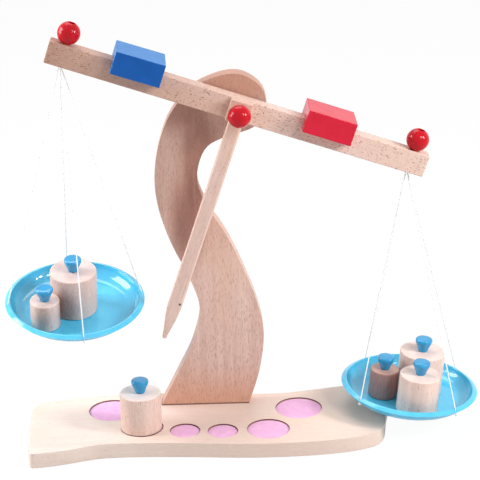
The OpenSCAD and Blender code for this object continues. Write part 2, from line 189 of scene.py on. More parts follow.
def stringTree():
    tree = bpy.data.node_groups.new("twistedString", "GeometryNodeTree")
    face = tree.interface
    face.new_socket("Geometry", in_out="INPUT", socket_type="NodeSocketGeometry")
    for label, kind in (("Start", "Vector"), ("End", "Vector"), ("Radius", "Float"), ("Ply Depth", "Float"),
                        ("Twist Length", "Float"), ("Ring Step", "Float"), ("Plies", "Float"),
                        ("Ring Corners", "Int"), ("Material", "Material")):
        face.new_socket(label, in_out="INPUT", socket_type="NodeSocket" + kind)
    face.new_socket("Geometry", in_out="OUTPUT", socket_type="NodeSocketGeometry")
    given = addNode(tree, "NodeGroupInput").outputs
    line = addNode(tree, "GeometryNodeCurvePrimitiveLine", None, None,
                   {"Start": given["Start"], "End": given["End"]})
    fine = addNode(tree, "GeometryNodeResampleCurve", {"mode": "LENGTH"}, None,
                   {"Curve": line.outputs["Curve"], "Length": given["Ring Step"]})
    # the twist: one turn of tilt for each twist length
    along = addNode(tree, "GeometryNodeSplineParameter")
    turns = addNode(tree, "ShaderNodeMath", {"operation": "DIVIDE"}, None,
                    {0: along.outputs["Length"], 1: given["Twist Length"]})
    angle = addNode(tree, "ShaderNodeMath", {"operation": "MULTIPLY"}, {1: 2 * math.pi},
                    {0: turns.outputs[0]})
    tilted = addNode(tree, "GeometryNodeSetCurveTilt", None, None,
                     {"Curve": fine.outputs["Curve"], "Tilt": angle.outputs[0]})
    # the section: a circle with one lobe for each ply
    ring = addNode(tree, "GeometryNodeCurvePrimitiveCircle", None, None,
                   {"Resolution": given["Ring Corners"], "Radius": given["Radius"]})
    around = addNode(tree, "GeometryNodeSplineParameter")
    lobes = addNode(tree, "ShaderNodeMath", {"operation": "MULTIPLY"}, None,
                    {0: around.outputs["Factor"], 1: given["Plies"]})
    lobeAngle = addNode(tree, "ShaderNodeMath", {"operation": "MULTIPLY"}, {1: 2 * math.pi},
                        {0: lobes.outputs[0]})
    wave = addNode(tree, "ShaderNodeMath", {"operation": "COSINE"}, None, {0: lobeAngle.outputs[0]})
    dip = addNode(tree, "ShaderNodeMath", {"operation": "SUBTRACT"}, {1: 1.0}, {0: wave.outputs[0]})
    size = addNode(tree, "ShaderNodeMath", {"operation": "MULTIPLY_ADD"}, {2: 1.0},
                   {0: dip.outputs[0], 1: given["Ply Depth"]})
    spot = addNode(tree, "GeometryNodeInputPosition")
    scaled = addNode(tree, "ShaderNodeVectorMath", {"operation": "SCALE"}, None,
                     {0: spot.outputs[0], "Scale": size.outputs[0]})
    lobed = addNode(tree, "GeometryNodeSetPosition", None, None,
                    {"Geometry": ring.outputs["Curve"], "Position": scaled.outputs[0]})
    tube = addNode(tree, "GeometryNodeCurveToMesh", None, {"Fill Caps": True},
                   {"Curve": tilted.outputs["Curve"], "Profile Curve": lobed.outputs["Geometry"]})
    solid = addNode(tree, "GeometryNodeRealizeInstances", None, None, {"Geometry": tube.outputs["Mesh"]})
    painted = addNode(tree, "GeometryNodeSetMaterial", None, None,
                      {"Geometry": solid.outputs[0], "Material": given["Material"]})
    addNode(tree, "NodeGroupOutput", None, None, {"Geometry": painted.outputs["Geometry"]})
    return tree


def cordMaterial(look):
    # bleached cotton cord, three-ply: white and matt, light soaks into it, a little fuzzy between the plies
    material, tree = newMaterial("bleachedCottonCord")
    place = addNode(tree, "ShaderNodeTexCoord")
    fuzz = addNode(tree, "ShaderNodeTexNoise", None, {"Scale": 1000 / look["fuzz"], "Detail": 3.0},
                   {"Vector": place.outputs["Object"]})
    tone = addNode(tree, "ShaderNodeValToRGB", None, None, {"Fac": fuzz.outputs["Fac"]})
    for stop, spot, colour in zip(tone.color_ramp.elements, (0.3, 0.7), (look["shade"], look["pale"])):
        stop.position, stop.color = spot, toLinear(colour)
    bump = addNode(tree, "ShaderNodeBump", None, {"Strength": 0.2, "Distance": look["fuzzDepth"] * mm},
                   {"Height": fuzz.outputs["Fac"]})
    shader = addNode(tree, "ShaderNodeBsdfPrincipled", None,
                     {"Roughness": look["roughness"], "Sheen Weight": 0.25, "Specular IOR Level": 0.3,
                      "Subsurface Weight": 0.7, "Subsurface Scale": 0.8 * mm,
                      "Subsurface Radius": (1.0, 1.0, 1.0)},
                     {"Base Color": tone.outputs["Color"], "Normal": bump.outputs["Normal"]})
    addNode(tree, "ShaderNodeOutputMaterial", None, None, {"Surface": shader.outputs[0]})
    return material


def sweepLoop(name, points, radius, sides):
    bm = bmesh.new()
    rings, normal = [], None
    for i, point in enumerate(points):
        along = (points[(i + 1) % len(points)] - points[i - 1]).normalized()
        normal = along.orthogonal().normalized() if normal is None else normal
        normal = (normal - along * normal.dot(along)).normalized()
        other = along.cross(normal)
        turns = [2 * math.pi * k / sides for k in range(sides)]
        rings.append([bm.verts.new(point + (normal * math.cos(t) + other * math.sin(t)) * radius)
                      for t in turns])
    # the last ring meets the first one turned, so they are joined from the nearest corner
    first, last = rings[0], rings[-1]
    nearest = min(range(sides), key=lambda k: (last[0].co - first[k].co).length)
    rings.append(first[nearest:] + first[:nearest])
    for low, high in zip(rings, rings[1:]):
        for k in range(sides):
            n = (k + 1) % sides
            bm.faces.new((low[k], low[n], high[n], high[k]))
    return meshFrom(bm, name, 60)


# an overhand knot pulled tight, in millimetres
knotSizes = {"cordRadius": 0.55, "coil": 0.38, "rise": 0.57, "steps": 72, "corners": 10}


def knotMesh(name, middle, axis):
    turn = axis.to_track_quat("Z", "Y").to_matrix()
    coil, rise, steps = knotSizes["coil"], knotSizes["rise"], knotSizes["steps"]
    points = []
    for t in (2 * math.pi * i / steps for i in range(steps)):
        reach = coil * (2 + math.cos(3 * t))
        spot = Vector((reach * math.cos(2 * t), reach * math.sin(2 * t), rise * math.sin(3 * t)))
        points.append(middle + turn @ (spot * mm))
    return sweepLoop(name, points, knotSizes["cordRadius"] * mm, knotSizes["corners"])


cottonCord = cordMaterial(cordLook)
twistTree = stringTree()
twistInputs = {item.name: item.identifier for item in twistTree.interface.items_tree
               if item.in_out == "INPUT"}


# the pan's k-th string: where it leaves the beam, its hole in the rim, and its direction
def stringLine(side, k):
    pan, hang = layout["rightPan" if side > 0 else "leftPan"], hangPoint(side)
    turn = math.radians(pan["firstHole"] + 90 * k)
    around = Vector((math.cos(turn), math.sin(turn), 0))
    start = hang + (around * stringSizes["spread"] - Vector((0, 0, stringSizes["start"]))) * mm
    hole = around * stringSizes["holeReach"] - Vector((0, 0, stringSizes["holeDrop"]))
    hole = panFrame(side) @ (hole * mm)
    return start, hole, (hole - hang).normalized()


def hangStrings(side):
    word = "right" if side > 0 else "left"
    for k in range(4):
        start, hole, direction = stringLine(side, k)
        end = hole + direction * stringSizes["below"] * mm
        holder = bpy.data.objects.new("stringHolder", bpy.data.meshes.new("stringHolder"))
        scene.collection.objects.link(holder)
        modifier = holder.modifiers.new("twist", "NODES")
        modifier.node_group = twistTree
        for label, value in (("Start", start), ("End", end), ("Radius", stringSizes["diameter"] / 2 * mm),
                             ("Ply Depth", stringSizes["plyDepth"]), ("Plies", float(stringSizes["plies"])),
                             ("Twist Length", stringSizes["twistLength"] * mm),
                             ("Ring Step", stringSizes["ringStep"] * mm),
                             ("Ring Corners", stringSizes["ringCorners"]), ("Material", cottonCord)):
            modifier[twistInputs[label]] = value
        mesh = evaluatedMesh(holder)
        bpy.data.objects.remove(holder)
        smoothBelow(mesh, 60)
        piece = makePiece("%sString%d" % (word, k + 1), mesh, word + "_pan", cottonCord,
                          [word + "_pan_strings"])
        tied = knotMesh("rimKnot", end + direction * stringSizes["knotBelow"] * mm, direction)
        knot = makePiece("%sRimKnot%d" % (word, k + 1), tied, word + "_pan", cottonCord,
                         [word + "_rim_knots"])


hangStrings(-1)
hangStrings(1)
print("pan strings and rim knots made")

# sizes of the marks in the wood, in millimetres: along the grain, then across it
woodMarks = {"fibre": (6.5, 0.8), "fleck": (2.1, 0.85), "ring": (260, 24, 7.5), "cloud": (104, 52, 52),
             "pore": (0.75, 0.75, 0.75), "patch": (16, 16, 16), "wander": (5, 5, 5), "wanderReach": 1.3}


def beechMaterial(name, look):
    # European beech, planed, sanded and thinly lacquered: pinkish tan, fine short fibres, dark flecks
    material, tree = newMaterial(name)
    place = addNode(tree, "ShaderNodeTexCoord")
    turn = [math.radians(a) for a in look["turn"]]
    local = addNode(tree, "ShaderNodeMapping", {"vector_type": "TEXTURE"},
                    {"Location": tuple(c * mm for c in look["centre"]), "Rotation": turn},
                    {"Vector": place.outputs["Object"]}).outputs[0]
    fibre, fleck = woodMarks["fibre"], woodMarks["fleck"]
    fibre = (fibre[0] * look["fibreLength"], fibre[1], fibre[1])
    fleck = (fleck[0] * look["fleckLength"], fleck[1], fleck[1])
    # each noise: size of its marks, detail, roughness, distortion, turn about the grain
    noise = {}
    for mark, size, detail, rough, distortion, spin in (
            ("fibre", fibre, 3.0, 0.62, 0.0, 0), ("ring", woodMarks["ring"], 3.0, 0.5, 0.4, look["ringTurn"]),
            ("cloud", woodMarks["cloud"], 2.0, 0.5, 0.0, 0), ("patch", woodMarks["patch"], 1.0, 0.5, 0.0, 0),
            ("wander", woodMarks["wander"], 2.0, 0.5, 0.0, 0), ("fleck", fleck, 1.2, 0.45, 0.0, 0),
            ("pore", woodMarks["pore"], 2.0, 0.5, 0.0, 0)):
        source = local
        if mark == "fleck":  # the flecks wander a little off the straight grain
            source = addNode(tree, "ShaderNodeVectorMath", {"operation": "MULTIPLY_ADD"},
                             {1: (woodMarks["wanderReach"] * mm,) * 3},
                             {0: noise["wander"].outputs["Color"], 2: local}).outputs[0]
        spread = addNode(tree, "ShaderNodeMapping", None,
                         {"Scale": tuple(1000 / s for s in size), "Rotation": (math.radians(spin), 0, 0)},
                         {"Vector": source})
        noise[mark] = addNode(tree, "ShaderNodeTexNoise", None,
                              {"Scale": 1.0, "Detail": detail, "Roughness": rough, "Distortion": distortion},
                              {"Vector": spread.outputs[0]})
    # how squarely a face looks along the grain: sawn ends show round pores instead of flecks
    axis = (Matrix.Rotation(turn[2], 3, "Z") @ Matrix.Rotation(turn[1], 3, "Y")
            @ Matrix.Rotation(turn[0], 3, "X"))
    facing = addNode(tree, "ShaderNodeVectorMath", {"operation": "DOT_PRODUCT"},
                     {1: tuple(axis @ Vector((1, 0, 0)))}, {0: place.outputs["Normal"]})
    facing = addNode(tree, "ShaderNodeMath", {"operation": "ABSOLUTE"}, None, {0: facing.outputs["Value"]})
    # each mask: its source, the range over which it comes up, its strength before and after
    mask, fleckFull = {}, look["fleckFrom"] + look["fleckEdge"]
    for part, source, (low, high), (start, full) in (
            ("fleck", noise["fleck"].outputs["Fac"], (look["fleckFrom"], fleckFull), (0, 1)),
            ("patch", noise["patch"].outputs["Fac"], (0.3, 0.6), (0.35, 1)),
            ("endGrain", facing.outputs[0], (0.55, 0.95), (0, 1)),
            ("pore", noise["pore"].outputs["Fac"], (0.54, 0.7), (0, 0.6))):
        mask[part] = addNode(tree, "ShaderNodeMapRange", {"interpolation_type": "SMOOTHSTEP"},
                             {"From Min": low, "From Max": high, "To Min": start, "To Max": full},
                             {"Value": source}).outputs[0]
    flecks = addNode(tree, "ShaderNodeMath", {"operation": "MULTIPLY"}, None,
                     {0: mask["fleck"], 1: mask["patch"]})
    marks = addNode(tree, "ShaderNodeMix", {"data_type": "FLOAT"}, None,
                    {0: mask["endGrain"], 2: flecks.outputs[0], 3: mask["pore"]}).outputs[0]

    # colours laid over each other: colour, mask, the mask's range, strength at its two ends, blend
    soft, even = "SMOOTHSTEP", "LINEAR"
    layers = [(look["deep"], noise["ring"].outputs["Fac"], (0.34, 0.66), (0, look["ringDepth"]), soft),
              (look["warm"], noise["cloud"].outputs["Fac"], (0.4, 0.68), (0, look["cloudDepth"]), soft)]
    # along its length the wood turns darker or paler, in places as painted shade or painted light: colour,
    # start, full, strength
    along = addNode(tree, "ShaderNodeSeparateXYZ", None, None, {"Vector": local}).outputs[0]
    for colour, start, full, strength in look.get("toneAndLightBands", ()):
        depth = (0, strength) if start < full else (strength, 0)
        layers.append((colour, along, (min(start, full) * mm, max(start, full) * mm), depth, soft))
    # patches darker or paler than the wood, some of them painted shade or painted light: colour, middle,
    # reach each way, strength
    for colour, middle, reach, strength in look.get("toneAndLightPatches", ()):
        inside = addNode(tree, "ShaderNodeMapping", {"vector_type": "TEXTURE"},
                         {"Location": tuple(c * mm for c in middle), "Scale": tuple(c * mm for c in reach)},
                         {"Vector": place.outputs["Object"]})
        away = addNode(tree, "ShaderNodeVectorMath", {"operation": "LENGTH"}, None, {0: inside.outputs[0]})
        away = addNode(tree, "ShaderNodeMath", {"operation": "MULTIPLY_ADD"}, {1: 0.5},
                       {0: noise["ring"].outputs["Fac"], 2: away.outputs["Value"]})
        layers.append((colour, away.outputs[0], (0.6, 1.3), (strength, 0), soft))
    layers += [(look["deep"], noise["fibre"].outputs["Fac"], (0.5, 0.74), (0, look["fibreDepth"]), soft),
               (look["light"], noise["fibre"].outputs["Fac"], (0.5, 0.3), (0, look["lightDepth"]), soft),
               (look["mark"], marks, (0, 1), (0, look["fleckDepth"]), even)]
    if "paintedTopLight" in look:  # faces across the grain, the weights' tops, made paler: painted light
        colour, strength = look["paintedTopLight"]
        layers.append((colour, mask["endGrain"], (0, 1), (0, strength), even))
    if "milled" in look:  # walls of the recesses, coloured brown
        wall = addNode(tree, "ShaderNodeAttribute", {"attribute_name": "milledWall"})
        layers.append((look["milled"], wall.outputs["Fac"], (0, 1), (0, 1), even))
    if "pinKnot" in look:  # one pin knot: colour, place, reach
        colour, spot, reach = look["pinKnot"]
        away = addNode(tree, "ShaderNodeVectorMath", {"operation": "DISTANCE"},
                       {1: tuple(c * mm for c in spot)}, {0: place.outputs["Object"]})
        layers.append((colour, away.outputs["Value"], (reach / 2 * mm, reach * mm), (0.9, 0), soft))
    tone = None
    for colour, source, (low, high), (start, full), blend in layers:
        amount = addNode(tree, "ShaderNodeMapRange", {"interpolation_type": blend},
                         {"From Min": low, "From Max": high, "To Min": start, "To Max": full},
                         {"Value": source})
        tone = addNode(tree, "ShaderNodeMix", {"data_type": "RGBA"},
                       {6: toLinear(look["pale"]), 7: toLinear(colour)},
                       {0: amount.outputs[0], **({6: tone} if tone else {})}).outputs[2]

    fibre, rough = noise["fibre"].outputs["Fac"], look["roughness"]
    gloss = addNode(tree, "ShaderNodeMapRange", None,
                    {"From Min": 0.3, "From Max": 0.7, "To Min": rough - 0.05, "To Max": rough + 0.09},
                    {"Value": fibre})
    relief = addNode(tree, "ShaderNodeMath", {"operation": "SUBTRACT"}, None, {0: fibre, 1: marks})
    bump = addNode(tree, "ShaderNodeBump", None, {"Strength": 0.35, "Distance": 0.06 * mm},
                   {"Height": relief.outputs[0]})
    shader = addNode(tree, "ShaderNodeBsdfPrincipled", None, {"IOR": 1.46},
                     {"Base Color": tone, "Roughness": gloss.outputs[0], "Normal": bump.outputs["Normal"]})
    addNode(tree, "ShaderNodeOutputMaterial", None, None, {"Surface": shader.outputs[0]})
    return material


# looks of the boards: turn sets the grain's direction, in degrees, and places are in millimetres
tilt = layout["beamTilt"]
pivotPlace = (0, 0, layout["pivotHeight"])
beechLook = {"centre": (0, 0, 0), "turn": (0, 0, 0), "ringTurn": 18, "roughness": 0.44,
             "pale": "#e4c5b9", "deep": "#c99f8f", "light": "#f3ddd3", "warm": "#dfb59d", "mark": "#7c5143",
             "ringDepth": 0.35, "cloudDepth": 0.5, "fibreLength": 1.0, "fibreDepth": 0.45,
             "lightDepth": 0.25, "fleckLength": 1.0, "fleckFrom": 0.63, "fleckEdge": 0.07, "fleckDepth": 0.75}
baseBeech = beechMaterial("lacqueredBeechBase", {
    **beechLook, "pale": "#efdcd1", "deep": "#ddc0b0", "light": "#f8ece4", "warm": "#ecd0bb",
    "mark": "#c7a291", "milled": "#7d5140",
    "fibreLength": 2.6, "fibreDepth": 0.4, "fleckLength": 2.2, "fleckDepth": 0.3,
    "toneAndLightBands": (("#dfc5b8", -120, -50, 0.6), ("#e7d1c3", 30, 110, 0.75))})
columnBeech = beechMaterial("lacqueredBeechColumn", {
    **beechLook, "turn": (0, -90, 0), "deep": "#b78878", "fibreDepth": 0.75, "lightDepth": 0.1,
    "fleckFrom": 0.6, "fleckLength": 1.8, "fleckDepth": 0.32,
    # upper column darker: painted shade under the beam; warmer towards the foot; a blackish-brown line at the
    # foot: painted shadow of the joint, partly a glue line
    "toneAndLightBands": (("#cb9c8a", 150, 215, 0.4), ("#d69d80", 62, 16, 0.75), ("#5a3528", 16.5, 15.2, 0.9)),
    # brown patches on the upper column and its head, under and beside the beam: partly the wood's own marks,
    # partly painted shade
    "toneAndLightPatches": (("#96604f", (-36, 18, 258), (23, 60, 66), 0.77),
                ("#8f5a4d", (-49, 18, 200), (21, 60, 62), 0.77),
                ("#a06d5e", (-54, 18, 305), (28, 60, 34), 0.7),
                ("#bd8a74", (0, 18, 332), (50, 60, 38), 0.85))})
beamBeech = beechMaterial("lacqueredBeechBeam", {
    **beechLook, "centre": pivotPlace, "turn": (0, tilt, 0),
    "mark": "#8a4b33", "fleckDepth": 0.85, "fleckFrom": 0.615,
    # darker towards the left end: painted shade of the light falling off; paler right of the pivot: painted
    # light
    "toneAndLightBands": (("#c2957f", 20, -90, 0.65), ("#a67a66", -128, -172, 0.6), ("#f0dad0", 14, 60, 0.3))})
pointerBeech = beechMaterial("lacqueredBeechPointer", {
    **beechLook, "centre": pivotPlace, "turn": (0, tilt - 90, 0), "fibreLength": 2.0, "fleckDepth": 0.3,
    "pinKnot": ("#2c1812", (-57.2, -15.5, 128.6), 1.5)})

# looks of the turned weights, which stand upright in their leaning pans
leftTurn = (layout["leftPan"]["nod"], layout["leftPan"]["roll"] - 90, 0)
rightTurn = (layout["rightPan"]["nod"], layout["rightPan"]["roll"] - 90, 0)
weightLook = {**beechLook, "pale": "#e6c9bd", "deep": "#cda597", "warm": "#dfb9a6", "light": "#f1dfd6",
              "fibreLength": 1.6, "fleckLength": 2.0, "fleckDepth": 0.35, "fibreDepth": 0.5,
              # paler tops: painted light
              "paintedTopLight": ("#efe5e5", 0.25)}
weightBeech = {
    "left": beechMaterial("turnedBeechLeft", {
        # a greyer, darker copy of the weights' beech with grey-brown patches on the weights' fronts: painted
        # shade
        **weightLook, "turn": leftTurn, "pale": "#d9bfb8",
        "toneAndLightPatches": (("#857673", (-179.5, -36, 124), (8, 9, 24), 0.45),
                    ("#94726b", (-160, -16, 128), (13, 20, 27), 0.8))}),
    "right": beechMaterial("turnedBeechRight", {
        # a paler copy of the weights' beech with a pale patch on the medium weight's front: painted light
        **weightLook, "turn": rightTurn, "pale": "#ecd3c8",
        "toneAndLightPatches": (("#f9dccd", (160, -27, 42), (24, 24, 32), 0.8),)}),
    "stored": beechMaterial("turnedBeechStored", {
        # paler top: painted light; a blackish-brown ring where the weight meets the recess's rim: painted
        # shade of the gap
        **weightLook, "turn": (0, -90, 0), "paintedTopLight": ("#fdefe8", 0.7),
        "toneAndLightBands": (("#33201a", 15.4, 14.7, 0.9),)}),
    "shadedCopy": beechMaterial("turnedBeechPaintedShade", {
        # a darker copy for the small weight that stands in the shadow of the others: painted shade
        **weightLook, "turn": rightTurn, "pale": "#a97f77", "deep": "#815a52", "warm": "#9d695f",
        "light": "#be9990", "paintedTopLight": ("#cda99b", 0.6)}),
}


# peel is the width of the orange peel's dimples, in millimetres; haze is a milky veil: strength, colour
plainLook = {"peelDepth": 0.2, "roughness": 0.5, "ior": 1.5, "coat": 0.0, "coatRoughness": 0.05,
             "haze": (0.0, "#ffffff"), "patch": 14}


def paintMaterial(name, **look):
    # pigmented lacquer or plastic: even colour, faint orange peel, a bright gloss or a satin
    look = {**plainLook, **look}
    material, tree = newMaterial(name)
    place = addNode(tree, "ShaderNodeTexCoord")
    peel, patch = (addNode(tree, "ShaderNodeTexNoise", None, {"Scale": 1000 / size, "Detail": detail},
                           {"Vector": place.outputs["Object"]})
                   for size, detail in ((look["peel"], 2.0), (look["patch"], 3.0)))
    shade = addNode(tree, "ShaderNodeMapRange", None, {"From Min": 0.35, "From Max": 0.65},
                    {"Value": patch.outputs["Fac"]})
    tone = addNode(tree, "ShaderNodeMix", {"data_type": "RGBA"},
                   {6: toLinear(look["colour"]), 7: toLinear(look["shade"])}, {0: shade.outputs[0]})
    rough = look["roughness"]
    gloss = addNode(tree, "ShaderNodeMapRange", None,
                    {"From Min": 0.3, "From Max": 0.7, "To Min": rough * 0.85, "To Max": rough * 1.2},
                    {"Value": patch.outputs["Fac"]})
    bump = addNode(tree, "ShaderNodeBump", None, {"Strength": look["peelDepth"], "Distance": 0.05 * mm},
                   {"Height": peel.outputs["Fac"]})
    haze, hazeColour = look["haze"]
    shader = addNode(tree, "ShaderNodeBsdfPrincipled", None,
                     {"IOR": look["ior"], "Coat Weight": look["coat"],
                      "Coat Roughness": look["coatRoughness"], "Sheen Weight": haze,
                      "Sheen Roughness": 0.4, "Sheen Tint": toLinear(hazeColour)},
                     {"Base Color": tone.outputs[2], "Roughness": gloss.outputs[0],
                      "Normal": bump.outputs["Normal"]})
    addNode(tree, "ShaderNodeOutputMaterial", None, None, {"Surface": shader.outputs[0]})
    return material


# dipped and sprayed lacquers on wood
redGloss = paintMaterial("redGlossLacquer", colour="#c4081e", shade="#ba0619", peel=1.6, peelDepth=0.01,
                         roughness=0.12, ior=1.31)
redSatin = paintMaterial("redSatinPaint", colour="#d81337", shade="#cf1030", peel=0.9,
                         roughness=0.22, ior=1.37)
blueSatin = paintMaterial("blueSatinPaint", colour="#0659ad", shade="#0452a2", peel=0.9, peelDepth=0.15,
                          roughness=0.2, ior=1.32, haze=(1.0, "#4fb2f8"))
skyGloss = paintMaterial("skyBlueGlossLacquer", colour="#0c97cc", shade="#088bbf", peel=1.2, peelDepth=0.03,
                         roughness=0.06, coat=0.3, coatRoughness=0.03)
# injection moulded plastics: polystyrene with the mould's polish, and plain nylon
panBlue = paintMaterial("skyBlueMouldedPlastic", colour="#58c6eb", shade="#4fbfe7", peel=6.0, peelDepth=0.03,
                        roughness=0.08, ior=1.46, coat=0.3, coatRoughness=0.04)
washerWhite = paintMaterial("naturalNylonWasher", colour="#ece8dc", shade="#e4dfd0", peel=0.6, ior=1.53)

feltLook = {"colour": "#f8c6e8", "shade": "#e79fd1", "hair": 0.5, "cloud": 7, "hairDepth": 0.2}
steelLook = {"colour": "#b9bcc0", "shade": "#a6a8a4", "wear": 1.2, "roughness": (0.25, 0.5)}


def feltMaterial(look):
    # pressed pink felt: matt, short tangled fibres
    material, tree = newMaterial("pressedPinkFelt")
    place = addNode(tree, "ShaderNodeTexCoord")
    hair = addNode(tree, "ShaderNodeTexNoise", None,
                   {"Scale": 1000 / look["hair"], "Detail": 5.0, "Roughness": 0.7, "Distortion": 1.5},
                   {"Vector": place.outputs["Object"]})
    cloud = addNode(tree, "ShaderNodeTexNoise", None, {"Scale": 1000 / look["cloud"], "Detail": 2.0},
                    {"Vector": place.outputs["Object"]})
    mixed = addNode(tree, "ShaderNodeMath", {"operation": "MULTIPLY_ADD"}, {1: 0.5},
                    {0: cloud.outputs["Fac"], 2: hair.outputs["Fac"]})
    shade = addNode(tree, "ShaderNodeMapRange", None, {"From Min": 0.5, "From Max": 1.0},
                    {"Value": mixed.outputs[0]})
    tone = addNode(tree, "ShaderNodeMix", {"data_type": "RGBA"},
                   {6: toLinear(look["shade"]), 7: toLinear(look["colour"])}, {0: shade.outputs[0]})
    bump = addNode(tree, "ShaderNodeBump", None, {"Strength": 0.7, "Distance": look["hairDepth"] * mm},
                   {"Height": hair.outputs["Fac"]})
    shader = addNode(tree, "ShaderNodeBsdfPrincipled", None,
                     {"Roughness": 0.95, "Specular IOR Level": 0.2, "Sheen Weight": 0.35,
                      "Sheen Roughness": 0.5},
                     {"Base Color": tone.outputs[2], "Normal": bump.outputs["Normal"]})
    addNode(tree, "ShaderNodeOutputMaterial", None, None, {"Surface": shader.outputs[0]})
    return material


def steelMaterial(look):
    # zinc plated steel, rolled thread and stamped head: grey, brushed by the tool
    material, tree = newMaterial("zincPlatedSteel")
    place = addNode(tree, "ShaderNodeTexCoord")
    wear = addNode(tree, "ShaderNodeTexNoise", None, {"Scale": 1000 / look["wear"], "Detail": 4.0},
                   {"Vector": place.outputs["Object"]})
    low, high = look["roughness"]
    gloss = addNode(tree, "ShaderNodeMapRange", None, {"To Min": low, "To Max": high},
                    {"Value": wear.outputs["Fac"]})
    tone = addNode(tree, "ShaderNodeMix", {"data_type": "RGBA"},
                   {6: toLinear(look["colour"]), 7: toLinear(look["shade"])}, {0: wear.outputs["Fac"]})
    shader = addNode(tree, "ShaderNodeBsdfPrincipled", None, {"Metallic": 1.0},
                     {"Base Color": tone.outputs[2], "Roughness": gloss.outputs[0]})
    addNode(tree, "ShaderNodeOutputMaterial", None, None, {"Surface": shader.outputs[0]})
    return material


pinkFelt = feltMaterial(feltLook)
zincSteel = steelMaterial(steelLook)
print("materials made")

# planed and sawn wood: the solids with eased edges, each width in millimetres
woodEdges = {"base": 1.6, "recess": 0.25, "column": 2.4, "foot": 0.2, "beam": 0.7, "block": 0.7,
             "pointer": 0.7, "rider": 0.6, "upright": 0.6}  # upright is a share of the base's
# a solid's edges are eased where they are longer than this, which leaves out the rims of its bores
longEdges = {"beam": 5.0, "block": 8.5, "pointer": 0.3}
# a copied solid's loose triangles are joined: reach in metres, angle of flat neighbours in degrees
joining = {"reach": 2e-6, "flat": 0.4}
boardTop = 14.5 * mm
boreReach = 5 * mm  # takes in the rim of the pivot's bore
sameHeight = 1e-5  # metres


def easedCopy(nodeName, pieceName, body, material, ease, easeOf=None, segments=3, degrees=32,
              milledOf=None):
    bm = bmesh.new()
    bm.from_mesh(nodes[nodeName].data)
    bmesh.ops.remove_doubles(bm, verts=bm.verts, dist=joining["reach"])
    bmesh.ops.dissolve_limit(bm, angle_limit=math.radians(joining["flat"]), verts=bm.verts, edges=bm.edges)
    if milledOf:
        milled = bm.faces.layers.float.new("milledWall")
        for face in bm.faces:
            face[milled] = milledOf(face)
    weights = bm.edges.layers.float.new("bevel_weight_edge")
    for edge in bm.edges:
        if len(edge.link_faces) == 2 and edge.calc_face_angle(0) > math.radians(degrees):
            edge[weights] = easeOf(edge) if easeOf else 1.0
    mesh = bpy.data.meshes.new(pieceName)
    bm.to_mesh(mesh)
    bm.free()
    smoothBelow(mesh, degrees)
    piece = makePiece(pieceName, mesh, body, material, [nodeName])
    bevel = piece.modifiers.new("easedEdges", "BEVEL")
    bevel.limit_method = "WEIGHT"
    bevel.width, bevel.segments = ease * mm, segments
    bevel.harden_normals = bevel.use_clamp_overlap = True
    piece.modifiers.new("evenShade", "WEIGHTED_NORMAL").keep_sharp = True
    return piece


# the recesses and their felt discs, in millimetres; margin takes in a recess's wall beside its felt
feltSizes = {"thickness": 0.8, "floor": 12.5, "large": 21.7, "medium": 19.4, "small": 13.8, "margin": 1.5}
feltPlaces = {"large_left": (-124.5147, 3.4036), "large_right": (50.7144, -1.1938),
              "medium_left": (-95.2929, -33.0962), "medium_right": (20.7129, -42.5958),
              "small_left": (-55.6977, -41.9989), "small_right": (-21.018, -44.5008)}
# the screws under the column, in millimetres; headBore takes in the hole round a head
screwSizes = {"head": 4.0, "shank": 2.0, "core": 1.44, "length": 45.0, "point": 5.0, "pitch": 1.8,
              "threadFrom": 12.0, "headBore": 6.0, "places": ((-56.76, 19.0), (-15.48, 19.0))}


def edgeMiddle(edge):
    return (edge.verts[0].co + edge.verts[1].co) / 2


def isNear(spot, middle, reach):
    return math.hypot(spot.x - middle[0] * mm, spot.y - middle[1] * mm) < reach * mm


def inRecess(spot):
    return any(isNear(spot, middle, feltSizes[name.split("_")[0]] + feltSizes["margin"])
               for name, middle in feltPlaces.items())


def inHeadBore(spot):
    return any(isNear(spot, middle, screwSizes["headBore"]) for middle in screwSizes["places"])


def isMilledWall(face):
    middle = face.calc_center_median()
    upright = abs(face.normal.z) < 0.5
    return 1.0 if inRecess(middle) and upright and middle.z > feltSizes["floor"] * mm else 0.0


def baseEase(edge):
    low, high = sorted(v.co.z for v in edge.verts)
    middle = edgeMiddle(edge)
    if inRecess(middle):
        return woodEdges["recess"] / woodEdges["base"] if low > boardTop - sameHeight else 0.0
    if high < sameHeight and inHeadBore(middle):
        return 0.0
    return 1.0 if high - low < sameHeight else woodEdges["upright"]


def columnEase(edge):
    middle = edgeMiddle(edge)
    if max(v.co.z for v in edge.verts) < boardTop + 2 * layout["gap"] * mm:
        return woodEdges["foot"] / woodEdges["column"]
    if math.hypot(middle.x, middle.z - pivot.z) < boreReach:
        return 0.0
    return 1.0 if abs(edge.verts[0].co.y - edge.verts[1].co.y) < sameHeight else 0.0


def easeLong(part):
    return lambda edge: 1.0 if edge.calc_length() > longEdges[part] * mm else 0.0


easedCopy("base_board", "baseBoard", "stand", baseBeech, woodEdges["base"], baseEase,
          milledOf=isMilledWall)
easedCopy("column", "columnBoard", "stand", columnBeech, woodEdges["column"], columnEase,
          segments=4)
easedCopy("beam_bar", "beamBar", "beam", beamBeech, woodEdges["beam"], easeLong("beam"))
easedCopy("pointer_block", "pointerBlock", "beam", beamBeech, woodEdges["block"],
          easeLong("block"))
easedCopy("pointer", "pointerHand", "beam", pointerBeech, woodEdges["pointer"],
          easeLong("pointer"), segments=2, degrees=40)
easedCopy("blue_rider", "blueRider", "blue_rider", blueSatin, woodEdges["rider"])
easedCopy("red_rider", "redRider", "red_rider", redSatin, woodEdges["rider"])

